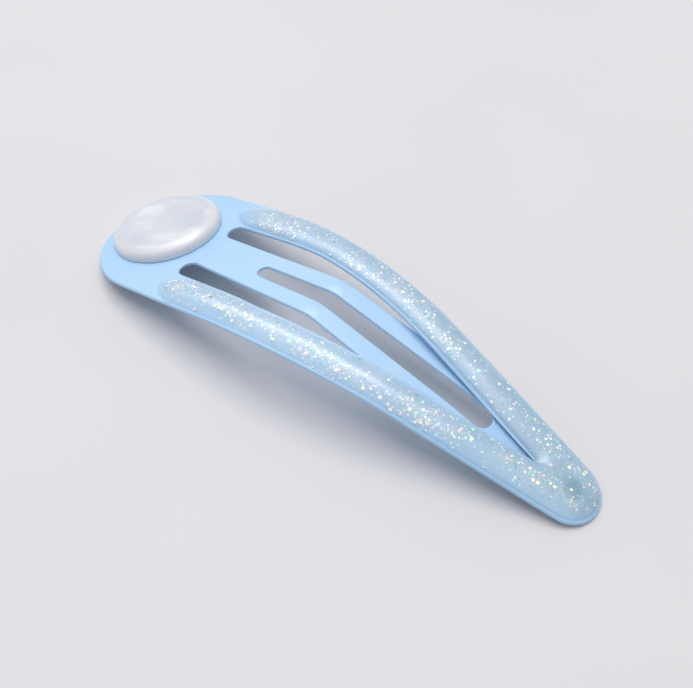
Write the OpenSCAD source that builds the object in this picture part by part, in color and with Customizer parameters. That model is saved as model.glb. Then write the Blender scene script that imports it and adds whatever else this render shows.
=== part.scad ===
// Snap hair clip, lying closed on a surface, in millimetres.
// X runs from the round head to the tip, Y across the clip and Z up from the surface. The origin
// is on the surface, halfway along the clip; the plan below counts its X from the head's end.
// The clip is one stamped sheet, bent up into a low arch. Its two arms join in the tip, and a
// tongue between them is bent down so that its end lies under the tip. Here the sheet is parted
// across the roots of the arms, where the real one flexes, so that the arms can swing open.

/* [Outline] */
// Length from the end of the head to the end of the tip
clip_len = 50; // [46:0.5:60]
// Radius of the round head, which is half the width of the clip
head_r = 7.4; // [7:0.1:9]
// Distance from the head's end to where the sides start to curve in
side_start = 11.6; // [10:0.2:13]
// How the sides bow out, from 0 for straight to 1 for one long arc
side_bow = 0.37; // [0.2:0.01:0.9]
// Radius of the round tip
tip_r = 2.7; // [2.4:0.1:3.2]
// Width of each arm along its run
arm_w = 3.15; // [2.8:0.05:3.5]
// Width of the window between the arms at their roots, where they are wider
window_w = 7.75; // [7.4:0.05:8]

/* [Sheet] */
// Thickness of the painted sheet
sheet_t = 0.35; // [0.3:0.05:0.5]
// Slope of the flat head, in degrees
head_angle = 14.9; // [13.8:0.1:18]
// Distance from the head's end to where the arms start to arch
arch_start = 16.5; // [15.5:0.5:19]
// Radius of the arch on the underside of the arms
arch_r = 33.4; // [30:0.2:40]
// Distance from the head's end to the round ends of the side slots
slot_root = 10.8; // [10.4:0.1:11]

/* [Tongue] */
// Width of the tongue at its root
tongue_root_w = 4.2; // [3.6:0.1:4.4]
// Width of the tongue before its round end
tongue_end_w = 5.6; // [4.6:0.1:5.8]
// Distance from the tongue's end to the end of the tip
tongue_tip_gap = 4.75; // [4.3:0.05:6]
// Slope of the tongue up to its bend, in degrees
tongue_rise = 10.9; // [9.5:0.1:11.2]
// Clearance under the arms along the tongue's last stretch
tongue_clearance = 0.17; // [0.15:0.01:0.4]
// Distance from the root to the bend
bend_run = 12.6; // [11:0.2:14]
// Inner radius of the bend
bend_r = 3; // [2:0.5:5]
// Distance from the end of the arms' arch to where the tongue comes to lie along them
settle_run = 3.2; // [1:0.2:5]
// How far the tongue leans to the far side, in degrees
tongue_lean = 0.7; // [0:0.1:1.2]
// Distance from the root to the start of the tongue's slot
slot_start = 5.4; // [4:0.2:6.6]
// Distance from the slot's end to the tongue's end
slot_margin = 5; // [4:0.2:7]
// Width of the slot at its narrow end
slot_w_near = 1.35; // [1:0.05:1.6]
// Width of the slot at its wide end
slot_w_far = 1.9; // [1.6:0.05:2.4]

/* [Disc] */
// Diameter of the disc on the head
disc_d = 10; // [8:0.2:10.4]
// Height of the disc at its rim
disc_h = 1.2; // [0.9:0.1:2]
// Radius of the rim's rounding
rim_r = 0.7; // [0.4:0.05:0.8]
// Depth of the shallow flat dish inside the rim
dish_depth = 0.1; // [0.05:0.05:0.3]
// Distance from the head's end to the middle of the disc
disc_x = 5.4; // [5.3:0.1:6.4]
// Distance of the disc's middle from the centre line
disc_y = 0.35; // [0:0.05:0.5]

/* [Resin] */
// Height of the domed coat over the middle of an arm
resin_h = 0.6; // [0.4:0.05:1]
// Height of the coat at its edge
resin_edge = 0.12; // [0.08:0.02:0.2]
// Bare margin between the coat and the edge of the sheet
resin_margin = 0.08; // [0.05:0.01:0.3]
// Distance from the arms' roots to the round start of the coat
resin_start = 0.3; // [0.2:0.1:3]
// How much the coat's height still grows for each millimetre towards the middle of the tip
tip_crown = 0.12; // [0:0.02:0.2]
// Height of the coat where the inner edges of the arms meet, from 0 for low to 1 for full
apex_height = 0.25; // [0.1:0.05:0.5]

/* [Rivet] */
// Diameter of the rivet's heads
rivet_head_d = 1.3; // [1:0.05:1.5]
// Height of each head
rivet_head_h = 0.22; // [0.15:0.01:0.28]
// Diameter of the rivet's shank
rivet_d = 0.7; // [0.5:0.05:0.8]
// Distance from the rivet to the end of the tip
rivet_back = 2.25; // [2.2:0.05:2.7]

/* [Fits] */
// Gap between the head and the arms at the line where the sheet is parted
seam_gap = 0.05; // [0.03:0.01:0.1]
// Gap under the disc and the coat, and round the rivet
seat_gap = 0.03; // [0.02:0.01:0.05]

/* [Hidden] */

paint_blue = [0.66, 0.83, 0.97];
disc_white = [0.92, 0.93, 0.96];
resin_blue = [0.62, 0.79, 0.88];
rivet_grey = [0.45, 0.6, 0.66];

// Steps of each quarter of the head, of each side's curve, of the tip and of a bend
head_steps = 20;
side_steps = 12;
tip_steps = 12;
bend_steps = 24;
// Steps of the coat: across it, along its straight run and along each of its round ends
coat_steps = 8;
run_steps = 24;
end_steps = 6;
// Facets of the large and of the small circles
large_facets = 120;
small_facets = 48;
// Enough to reach past the clip on every side
reach = 100;

// Side curve: tangent to the head's straight side and to the straight run that meets the tip
side_run = clip_len - tip_r - side_start;
straight_angle = atan2(head_r, side_run) - asin(tip_r / norm([side_run, head_r]));
one_arc_r = (side_run ^ 2 + head_r ^ 2 - tip_r ^ 2) / (2 * (head_r - tip_r));
one_arc_angle = asin(side_run / (one_arc_r - tip_r));
side_angle = straight_angle + side_bow * (one_arc_angle - straight_angle);
side_r = (side_run * sin(side_angle) - head_r * cos(side_angle) + tip_r) / (1 - cos(side_angle));
// Distance of the straight run from the origin, along its own normal
side_reach = (clip_len - tip_r) * sin(side_angle) + tip_r;
// Where the inner edges of the arms meet
window_point = (side_reach - arm_w) / sin(side_angle);

// Round ends of the side slots, whose middle is where the arms are parted from the head
slot_end_r = (window_w - tongue_root_w) / 4;
slot_end_y = (window_w + tongue_root_w) / 4;
root_x = slot_root + slot_end_r;

// Arch of the arms: rises with the head, and comes down to the surface at the tip's end
arch_c = [
    arch_start + arch_r * sin(head_angle),
    arch_start * tan(head_angle) - arch_r * cos(head_angle)
];
tip_sight = [clip_len, 0] - arch_c;
tip_angle = 90 - atan2(tip_sight.y, tip_sight.x) - acos(arch_r / norm(tip_sight));

// Bend of the tongue: from there it runs straight down until it lies along the arms, whose
// underside is straight after the arch, and then along them to its end
tongue_len = clip_len - tongue_tip_gap - root_x;
slot_len = tongue_len - slot_margin - slot_start;
root_z = root_x * tan(head_angle);
bend_z = root_z + bend_run * tan(tongue_rise);
settle_x = arch_c.x + arch_r * sin(tip_angle) + settle_run;
settle_z = (clip_len - settle_x) * tan(tip_angle) - tongue_clearance - sheet_t / cos(tip_angle);
tongue_fall = atan((bend_z - settle_z) / (settle_x - root_x - bend_run));
turn = tongue_rise + tongue_fall;
lean_normal = (tongue_fall - tongue_rise) / 2;
bend_c = [root_x + bend_run, bend_z]
    - bend_r / cos(turn / 2) * [sin(lean_normal), cos(lean_normal)];

// Points of one side's curve, moved in by inset, from its straight start to its straight end
function side_curve(inset) = [
    for (i = [0 : side_steps])
        let (a = side_angle * i / side_steps)
        [side_start, head_r - side_r] + (side_r - inset) * [sin(a), cos(a)]
];

// Mirror image of a list of points across the X axis, in reverse order
function mirrored(points) = [
    for (i = [len(points) - 1 : -1 : 0]) [points[i].x, -points[i].y]
];

// Height of the sheet's top face over the surface, along the arms
function sheet_top(x) =
    let (r = arch_r + sheet_t)
    x < arch_c.x - r * sin(head_angle)
        ? x * tan(head_angle) + sheet_t / cos(head_angle)
        : x > arch_c.x + r * sin(tip_angle)
            ? (clip_len - x) * tan(tip_angle) + sheet_t / cos(tip_angle)
            : arch_c.y + sqrt(r ^ 2 - (x - arch_c.x) ^ 2);

// Plan of the whole sheet, without its window
module outline() {
    half = concat(
        [for (i = [0 : head_steps - 1])
            let (a = 90 * i / head_steps) head_r * [1 - cos(a), sin(a)]],
        [[head_r, head_r]],
        side_curve(0),
        [for (i = [1 : tip_steps])
            let (a = (90 - side_angle) * (1 - i / tip_steps))
            [clip_len - tip_r, 0] + tip_r * [cos(a), sin(a)]]
    );
    inner = [for (i = [1 : len(half) - 2]) half[i]];
    polygon(concat(half, mirrored(inner)));
}

// Plan of the space between the arms
module window() {
    half = concat([[0, head_r - arm_w]], side_curve(arm_w));
    intersection() {
        polygon(concat(half, [[window_point, 0]], mirrored(half)));
        translate([0, -window_w / 2]) square([reach, window_w]);
    }
}

// Moves a point of the tongue's plan sideways with its lean
function leant(p) = [root_x + p.x, p.y + p.x * tan(tongue_lean)];

// Plan of a strip that widens from w0 at x0 to w1 at x1, with round ends where it has a cap
module tapered_strip(x0, w0, x1, w1, round_start) {
    half = concat(
        round_start
            ? [for (i = [0 : tip_steps]) let (a = 90 * i / tip_steps)
                [x0 + w0 / 2 * (1 - cos(a)), w0 / 2 * sin(a)]]
            : [[x0, w0 / 2]],
        [for (i = [0 : tip_steps]) let (a = 90 * i / tip_steps)
            [x1 - w1 / 2 * (1 - sin(a)), w1 / 2 * cos(a)]]
    );
    first = round_start ? 1 : 0;
    inner = [for (i = [first : len(half) - 2]) half[i]];
    polygon([for (p = concat(half, mirrored(inner))) leant(p)]);
}

// Points of one face of a bent strip, from far before its bend to the end of the bend. The face is
// at the distance r from the middle c of the bend, and slopes up by rise and then down by fall.
function bent_face(c, r, rise, fall) = concat(
    [c + r * [-sin(rise), cos(rise)] - reach * [cos(rise), sin(rise)]],
    [for (i = [0 : bend_steps])
        let (a = -rise + (rise + fall) * i / bend_steps)
        c + r * [sin(a), cos(a)]]
);

// Point far beyond p, on a line that slopes down by fall
function beyond(p, fall) = p + reach * [cos(fall), -sin(fall)];

// Side view of a strip between its two faces
module strip(under, top) {
    polygon(concat(under, [for (i = [len(top) - 1 : -1 : 0]) top[i]]));
}

// Side view of the arms: the slope of the head, the arch and the straight run to the tip
module arms_side() {
    under = bent_face(arch_c, arch_r, head_angle, tip_angle);
    top = bent_face(arch_c, arch_r + sheet_t, head_angle, tip_angle);
    strip(
        concat(under, [beyond(under[bend_steps + 1], tip_angle)]),
        concat(top, [beyond(top[bend_steps + 1], tip_angle)])
    );
}

// Side view of the tongue: up to its bend, down from it, and then along the arms
module tongue_side() {
    settle = [settle_x, settle_z];
    slope = (tongue_fall + tip_angle) / 2;
    settle_top = settle + sheet_t / cos(slope - tongue_fall) * [sin(slope), cos(slope)];
    strip(
        concat(bent_face(bend_c, bend_r, tongue_rise, tongue_fall),
            [settle, beyond(settle, tip_angle)]),
        concat(bent_face(bend_c, bend_r + sheet_t, tongue_rise, tongue_fall),
            [settle_top, beyond(settle_top, tip_angle)])
    );
}

// Moves a sub-part from the head's end to the origin halfway along the clip
module centred() {
    translate([-clip_len / 2, 0, 0]) children();
}

// Gives a side view its width across the clip
module across() {
    translate([0, reach / 2, 0]) rotate([90, 0, 0]) linear_extrude(reach) children();
}

// Flat head, up to the line where the arms are parted from it
module head_plate() {
    slab_t = sheet_t / cos(head_angle);
    intersection() {
        linear_extrude(reach) difference() {
            intersection() {
                outline();
                translate([-1, -reach / 2]) square([root_x + 1, reach]);
            }
            for (side = [-1, 1])
                translate([root_x, side * slot_end_y]) circle(slot_end_r, $fn = large_facets);
        }
        across() polygon([
            [-1, -tan(head_angle)],
            [-1, -tan(head_angle) + slab_t],
            [root_x + 1, (root_x + 1) * tan(head_angle) + slab_t],
            [root_x + 1, (root_x + 1) * tan(head_angle)]
        ]);
    }
}

// Tongue with its long slot
module tongue() {
    intersection() {
        linear_extrude(reach) difference() {
            tapered_strip(0, tongue_root_w, tongue_len, tongue_end_w, false);
            tapered_strip(slot_start, slot_w_near, slot_start + slot_len, slot_w_far, true);
        }
        across() tongue_side();
    }
}

module head_tongue() {
    color(paint_blue) centred() {
        head_plate();
        tongue();
    }
}

// Place on the tip where the rivet goes, with Z along the sheet's normal and 0 on its top face
module at_rivet() {
    x = clip_len - rivet_back;
    translate([x, 0, sheet_top(x)]) rotate([0, tip_angle, 0]) children();
}

module arms() {
    color(paint_blue) centred() difference() {
        intersection() {
            linear_extrude(reach) difference() {
                intersection() {
                    outline();
                    translate([root_x + seam_gap, -reach / 2]) square([reach, reach]);
                }
                window();
            }
            across() arms_side();
        }
        at_rivet() cylinder(d = rivet_d + 2 * seat_gap, h = 4 * sheet_t, center = true,
            $fn = small_facets);
    }
}

module white_disc() {
    disc_r = disc_d / 2;
    color(disc_white) centred()
        translate([disc_x, disc_y, sheet_top(disc_x)])
        rotate([0, -head_angle, 0])
        translate([0, 0, seat_gap])
        rotate_extrude($fn = large_facets) {
            square([disc_r - rim_r, disc_h - dish_depth]);
            square([disc_r, disc_h - rim_r]);
            intersection() {
                translate([disc_r - rim_r, disc_h - rim_r]) circle(rim_r, $fn = small_facets);
                square([disc_r, disc_h]);
            }
        }
}

// The coat's own half width at the root of an arm, and the middle of its round start
coat_w = (head_r - window_w / 2) / 2 - resin_margin;
coat_x = root_x + resin_start + coat_w;
coat_y = (head_r + window_w / 2) / 2;

// Half width of the clip at x, with its edge moved in by inset
function half_width(x, inset) =
    inset < tip_r && x > clip_len - tip_r + (tip_r - inset) * sin(side_angle)
        ? sqrt(max((tip_r - inset) ^ 2 - (x - clip_len + tip_r) ^ 2, 0))
        : x > side_start + (side_r - inset) * sin(side_angle)
            ? (side_reach - inset - x * sin(side_angle)) / cos(side_angle)
            : x > side_start
                ? head_r - side_r + sqrt((side_r - inset) ^ 2 - (x - side_start) ^ 2)
                : head_r - inset;

// Inner edge of the coat's straight run at x
function inner_edge(x) = min(half_width(x, arm_w - resin_margin), window_w / 2 + resin_margin);

// Outer and inner edge of the coat at x. Its start is a half circle.
function coat_edge(x, outer) =
    let (edge = outer ? half_width(x, resin_margin) : inner_edge(x))
    x >= coat_x
        ? max(edge, 0)
        : coat_y + (outer ? 1 : -1) * sqrt(max(coat_w ^ 2 - (x - coat_x) ^ 2, 0));

// Distance of a point from the nearest edge of the coat
function depth_in(x, y) =
    x < coat_x
        ? coat_w - norm([x - coat_x, y - coat_y])
        : min(
            x > clip_len - tip_r
                ? tip_r - resin_margin - norm([x - clip_len + tip_r, y])
                : half_width(x, resin_margin) - y,
            x > window_point
                ? norm([x - window_point, y]) + apex_height * coat_w
                : y - inner_edge(x)
        );

// Height of the coat over the sheet, rounded up from its edges
function coat_height(x, y) =
    let (
        depth = max(depth_in(x, y), 0),
        rim = 1 - min(depth / coat_w, 1)
    )
    resin_edge + (resin_h - resin_edge) * sqrt(1 - rim ^ 2) + tip_crown * max(depth - coat_w, 0);

// Stations along the coat: close together in its round ends, wider apart between them
function coat_stations() =
    let (tip_x = clip_len - tip_r, tip_reach = tip_r - resin_margin)
    concat(
        [for (i = [end_steps : -1 : 1]) coat_x - coat_w * sin(90 * i / (end_steps + 1))],
        [for (i = [0 : run_steps]) coat_x + (tip_x - coat_x) * i / run_steps],
        [for (i = [1 : end_steps]) tip_x + tip_reach * sin(90 * i / (end_steps + 1))]
    );

// One half of the coat, from the near or far arm's start to the tip
module coat_half() {
    stations = coat_stations();
    columns = coat_steps + 3;
    // Each ring: the top points from the inner to the outer edge, then the two bottom points
    rings = [
        for (x = stations)
            let (inner = coat_edge(x, false), outer = coat_edge(x, true))
            let (base = sheet_top(x) + seat_gap)
            concat(
                [for (j = [0 : coat_steps])
                    let (y = inner + (outer - inner) * (1 - cos(180 * j / coat_steps)) / 2)
                    [x, y, base + coat_height(x, y)]],
                [[x, outer, base], [x, inner, base]]
            )
    ];
    last = len(stations) - 1;
    polyhedron(
        points = [for (ring = rings) each ring],
        faces = concat(
            [[for (j = [columns - 1 : -1 : 0]) j]],
            [[for (j = [0 : columns - 1]) last * columns + j]],
            [for (i = [0 : last - 1]) for (j = [0 : columns - 1])
                let (k = (j + 1) % columns)
                each [
                    [i * columns + j, (i + 1) * columns + k, (i + 1) * columns + j],
                    [i * columns + j, i * columns + k, (i + 1) * columns + k]
                ]]
        )
    );
}

module glitter_resin() {
    color(resin_blue) centred() difference() {
        union() {
            coat_half();
            mirror([0, 1, 0]) coat_half();
        }
        at_rivet() cylinder(d = rivet_head_d + 4 * seat_gap, h = 2 * (rivet_head_h + 2 * seat_gap),
            center = true, $fn = small_facets);
    }
}

module tip_rivet() {
    color(rivet_grey) centred() at_rivet() {
        translate([0, 0, seat_gap]) cylinder(d = rivet_head_d, h = rivet_head_h, $fn = small_facets);
        translate([0, 0, -sheet_t - seat_gap - rivet_head_h / 2])
            cylinder(d = rivet_d, h = sheet_t + 2 * seat_gap + rivet_head_h, $fn = small_facets);
        translate([0, 0, -sheet_t - seat_gap - rivet_head_h])
            cylinder(d = rivet_head_d, h = rivet_head_h, $fn = small_facets);
    }
}

head_tongue();
arms();
white_disc();
glitter_resin();
tip_rivet();
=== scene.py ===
"""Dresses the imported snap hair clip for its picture: a painted spring sheet, a pearly disc, a clear
glitter coat over the arms and a small rivet, on a pale floor in soft light. Lengths are in metres."""

import math

import bmesh
import bpy
from mathutils import Matrix, Vector, noise


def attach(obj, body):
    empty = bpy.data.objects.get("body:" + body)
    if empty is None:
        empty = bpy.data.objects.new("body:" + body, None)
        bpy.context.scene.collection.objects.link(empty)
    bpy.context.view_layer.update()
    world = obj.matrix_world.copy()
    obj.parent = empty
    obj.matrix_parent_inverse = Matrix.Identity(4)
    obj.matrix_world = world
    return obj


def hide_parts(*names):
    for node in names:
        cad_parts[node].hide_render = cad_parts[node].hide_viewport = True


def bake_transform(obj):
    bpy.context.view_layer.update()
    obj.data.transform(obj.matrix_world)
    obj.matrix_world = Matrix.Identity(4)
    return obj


bl_info = {
    "name": "Snap Hair Clip",
    "version": (1, 0, 0),
    "blender": (4, 5, 0),
    "location": "3D View > Sidebar > Hair Clip",
    "description": "Builds a painted snap hair clip with a glitter coat around its frame",
    "category": "Add Mesh",
}

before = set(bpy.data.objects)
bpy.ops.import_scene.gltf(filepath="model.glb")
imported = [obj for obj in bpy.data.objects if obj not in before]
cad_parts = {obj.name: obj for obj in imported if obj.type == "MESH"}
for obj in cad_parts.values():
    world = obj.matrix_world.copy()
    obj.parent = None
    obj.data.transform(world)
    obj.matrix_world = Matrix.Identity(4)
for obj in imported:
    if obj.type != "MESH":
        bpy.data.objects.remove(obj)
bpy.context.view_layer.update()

MM = 0.001
# The clip's plan, as its frame has it: X is counted here from the head's end
CLIP_LEN = 50 * MM
HEAD_R = 7.4 * MM
SIDE_START = 11.6 * MM
SIDE_BOW = 0.37
TIP_R = 2.7 * MM
ARM_W = 3.15 * MM
WINDOW_W = 7.75 * MM
SHEET_T = 0.35 * MM
HEAD_ANGLE = math.radians(14.9)
ARCH_START = 16.5 * MM
ARCH_R = 33.4 * MM
ROOT_X = 11.6875 * MM
DISC_X = 5.4 * MM
DISC_Y = 0.35 * MM
RIVET_X = CLIP_LEN - 2.25 * MM
# Between which places the roll of the arms' outer edges begins, and between which it ends
ROLL_BEGINS, ROLL_ENDS = (12.5 * MM, 24 * MM), (26 * MM, 40 * MM)
# Half the width of the plain floor, and the size and the place of each lamp
FLOOR_HALF = 1.5
KEY_SIZE, KEY_PLACE = (0.45, 0.45), (-0.1, 0.04, 0.47)
SHEEN_SIZE, SHEEN_PLACE = (0.62, 0.16), (-0.19, 0.14, 0.42)
# Direction of the sky's brightest part, the cosines to it at which the sky stops getting darker
# and brighter, and the sky's tint
SKY_BRIGHT = (-0.45, 0.25, 0.84)
SKY_COSINES = (-0.2, 0.9)
SKY_TINT = (0.93, 0.96, 1.0, 1.0)
# How far apart two points of a frame's mesh may be and still be one point, and how far a point may
# be from the seam across the arms' roots and still be one of its own
WELD = 0.002 * MM
SEAM_REACH = 5 * WELD
# Faces that meet at less than FLAT are parts of one flat face. An edge whose faces meet at more
# than SHARP is a cut edge of the sheet.
FLAT = math.radians(0.3)
SHARP = math.radians(45)
# How far the slight crease at the tongue's root is rounded to each side
CREASE = 0.6 * MM
# Faces across the rounding of each cut edge
RIM_STEPS = 3


class ClipPlan:
    """The curves that the painted sheet and its coat share."""

    def __init__(self):
        run = CLIP_LEN - TIP_R - SIDE_START
        straight = math.atan2(HEAD_R, run) - math.asin(TIP_R / math.hypot(run, HEAD_R))
        one_arc_r = (run**2 + HEAD_R**2 - TIP_R**2) / (2 * (HEAD_R - TIP_R))
        one_arc = math.asin(run / (one_arc_r - TIP_R))
        self.side_angle = straight + SIDE_BOW * (one_arc - straight)
        sin, cos = math.sin(self.side_angle), math.cos(self.side_angle)
        self.side_r = (run * sin - HEAD_R * cos + TIP_R) / (1 - cos)
        self.side_reach = (CLIP_LEN - TIP_R) * sin + TIP_R
        self.arch_x = ARCH_START + ARCH_R * math.sin(HEAD_ANGLE)
        self.arch_z = ARCH_START * math.tan(HEAD_ANGLE) - ARCH_R * math.cos(HEAD_ANGLE)
        sight = Vector((CLIP_LEN - self.arch_x, -self.arch_z))
        self.tip_angle = math.pi / 2 - math.atan2(sight.y, sight.x) - math.acos(ARCH_R / sight.length)

    def sheet_top(self, x):
        """Height of the sheet's top face along the head and the arms."""
        r = ARCH_R + SHEET_T
        if x < self.arch_x - r * math.sin(HEAD_ANGLE):
            return x * math.tan(HEAD_ANGLE) + SHEET_T / math.cos(HEAD_ANGLE)
        if x > self.arch_x + r * math.sin(self.tip_angle):
            return (CLIP_LEN - x) * math.tan(self.tip_angle) + SHEET_T / math.cos(self.tip_angle)
        return self.arch_z + math.sqrt(r**2 - (x - self.arch_x) ** 2)

    def half_width(self, x, inset):
        """Half of the clip's width at x, with its edge moved in by inset."""
        tip_x = CLIP_LEN - TIP_R
        sin, cos = math.sin(self.side_angle), math.cos(self.side_angle)
        if inset < TIP_R and x > tip_x + (TIP_R - inset) * sin:
            return math.sqrt(max((TIP_R - inset) ** 2 - (x - tip_x) ** 2, 0))
        if x > SIDE_START + (self.side_r - inset) * sin:
            return (self.side_reach - inset - x * sin) / cos
        if x > SIDE_START:
            return HEAD_R - self.side_r + math.sqrt((self.side_r - inset) ** 2 - (x - SIDE_START) ** 2)
        return HEAD_R - inset

    def window_edge(self, x, inset):
        """Distance of the window's edge from the middle at x, moved out over the arm by inset."""
        return max(min(self.half_width(x, ARM_W - inset), WINDOW_W / 2 + inset), 0)

    def drop(self, x, y, depth):
        """How far an arm's outer edge rolls down there, up to depth at the arch's middle."""
        inner, outer = self.window_edge(x, 0), self.half_width(x, 0)
        across = (abs(y) - inner) / max(outer - inner, MM)
        rise = smoothstep(x, *ROLL_BEGINS) * smoothstep(x, ROLL_ENDS[1], ROLL_ENDS[0])
        return depth * rise * min(max(across, 0), 1)


def smoothstep(value, start, end):
    share = min(max((value - start) / (end - start), 0), 1)
    return share * share * (3 - 2 * share)


PLAN = ClipPlan()


def placed(x, y, z):
    """A point of the plan in the frame, whose origin is halfway along the clip."""
    return Vector((x - CLIP_LEN / 2, y, z))


# Meshes


def finished_mesh(bm, name, material):
    """A new piece from a bmesh, with its material."""
    bmesh.ops.recalc_face_normals(bm, faces=bm.faces)
    mesh = bpy.data.meshes.new(name)
    bm.to_mesh(mesh)
    bm.free()
    piece = bpy.data.objects.new(name, mesh)
    bpy.context.scene.collection.objects.link(piece)
    mesh.materials.append(material)
    return piece


def merged_copy(node):
    """A bmesh that starts as a merged copy of a frame node, with its flat faces whole."""
    bm = bmesh.new()
    bm.from_mesh(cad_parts[node].data)
    bmesh.ops.remove_doubles(bm, verts=bm.verts, dist=WELD)
    bmesh.ops.dissolve_limit(
        bm,
        angle_limit=FLAT,
        use_dissolve_boundaries=False,
        verts=bm.verts,
        edges=bm.edges,
    )
    return bm


def cut_across(bm, stations):
    """Cuts a bmesh across the clip at each X of the plan."""
    for x in stations:
        bmesh.ops.bisect_plane(
            bm,
            geom=bm.verts[:] + bm.edges[:] + bm.faces[:],
            dist=WELD,
            plane_co=placed(x, 0, 0),
            plane_no=(1, 0, 0),
        )


def at_seam(x):
    """True for a place of the frame on the line across the arms' roots that parts the sheet."""
    return abs(x - (ROOT_X - CLIP_LEN / 2)) < SEAM_REACH


def rounded_rims(bm, radius):
    """Rounds the sheet's cut edges, apart from those of the seam."""
    rims = [
        e
        for e in bm.edges
        if len(e.link_faces) == 2
        and e.calc_face_angle() > SHARP
        and not all(at_seam(v.co.x) for v in e.verts)
        and not is_upright(e)
    ]
    bmesh.ops.bevel(
        bm,
        geom=rims,
        offset=radius,
        offset_type="OFFSET",
        segments=RIM_STEPS,
        profile=0.5,
        affect="EDGES",
        clamp_overlap=False,
        material=-1,
    )


def is_upright(edge):
    """True for an edge that runs through the sheet's thickness."""
    a, b = edge.verts
    return abs(a.co.z - b.co.z) > 0.8 * SHEET_T and (a.co - b.co).length < 1.3 * SHEET_T


def seam_edges_sharp(mesh):
    """Keeps the shading straight up to the seam, so that the two halves of the sheet look whole."""
    for e in mesh.edges:
        e.use_edge_sharp = all(at_seam(mesh.vertices[v].co.x) for v in e.vertices)


def smooth(piece):
    """Smooth shading all over."""
    for face in piece.data.polygons:
        face.use_smooth = True


def smooth_with_flat_faces(piece):
    """Smooth shading, in which the large faces stay flat."""
    smooth(piece)
    weighted = piece.modifiers.new("Flat faces", "WEIGHTED_NORMAL")
    weighted.keep_sharp = True
    weighted.weight = 90
    return piece


def on_sheet(x, y, slope):
    """Where something sits on the sheet: at x, y of the plan, with its Z along the sheet's normal."""
    seat = placed(x, y, PLAN.sheet_top(x))
    return Matrix.Translation(seat) @ Matrix.Rotation(slope, 4, "Y")


def spun(bm, outline, steps):
    """Turns an outline of (radius, height) points, from axis to axis, into a closed solid."""
    verts = [bm.verts.new((r, 0, z)) for r, z in outline]
    edges = [bm.edges.new(pair) for pair in zip(verts, verts[1:])]
    bmesh.ops.spin(
        bm,
        geom=verts + edges,
        cent=(0, 0, 0),
        axis=(0, 0, 1),
        dvec=(0, 0, 0),
        angle=2 * math.pi,
        steps=steps,
        use_merge=True,
        use_normal_flip=False,
        use_duplicate=False,
    )
    bmesh.ops.remove_doubles(bm, verts=bm.verts, dist=WELD)


def lofted(bm, rings):
    """Draws the first ring of points and extrudes it along the others. Gives the rings' vertices."""
    verts = [bm.verts.new(p) for p in rings[0]]
    edges = [bm.edges.new(pair) for pair in zip(verts, verts[1:] + verts[:1])]
    made = [verts]
    for ring in rings[1:]:
        new = bmesh.ops.extrude_edge_only(bm, edges=edges)["geom"]
        fresh = {g for g in new if isinstance(g, bmesh.types.BMVert)}
        row = []
        for old in made[-1]:
            row.append(next(e.other_vert(old) for e in old.link_edges if e.other_vert(old) in fresh))
        for vert, point in zip(row, ring):
            vert.co = point
        edges = [g for g in new if isinstance(g, bmesh.types.BMEdge) and set(g.verts) <= fresh]
        made.append(row)
    return made


# Materials


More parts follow.
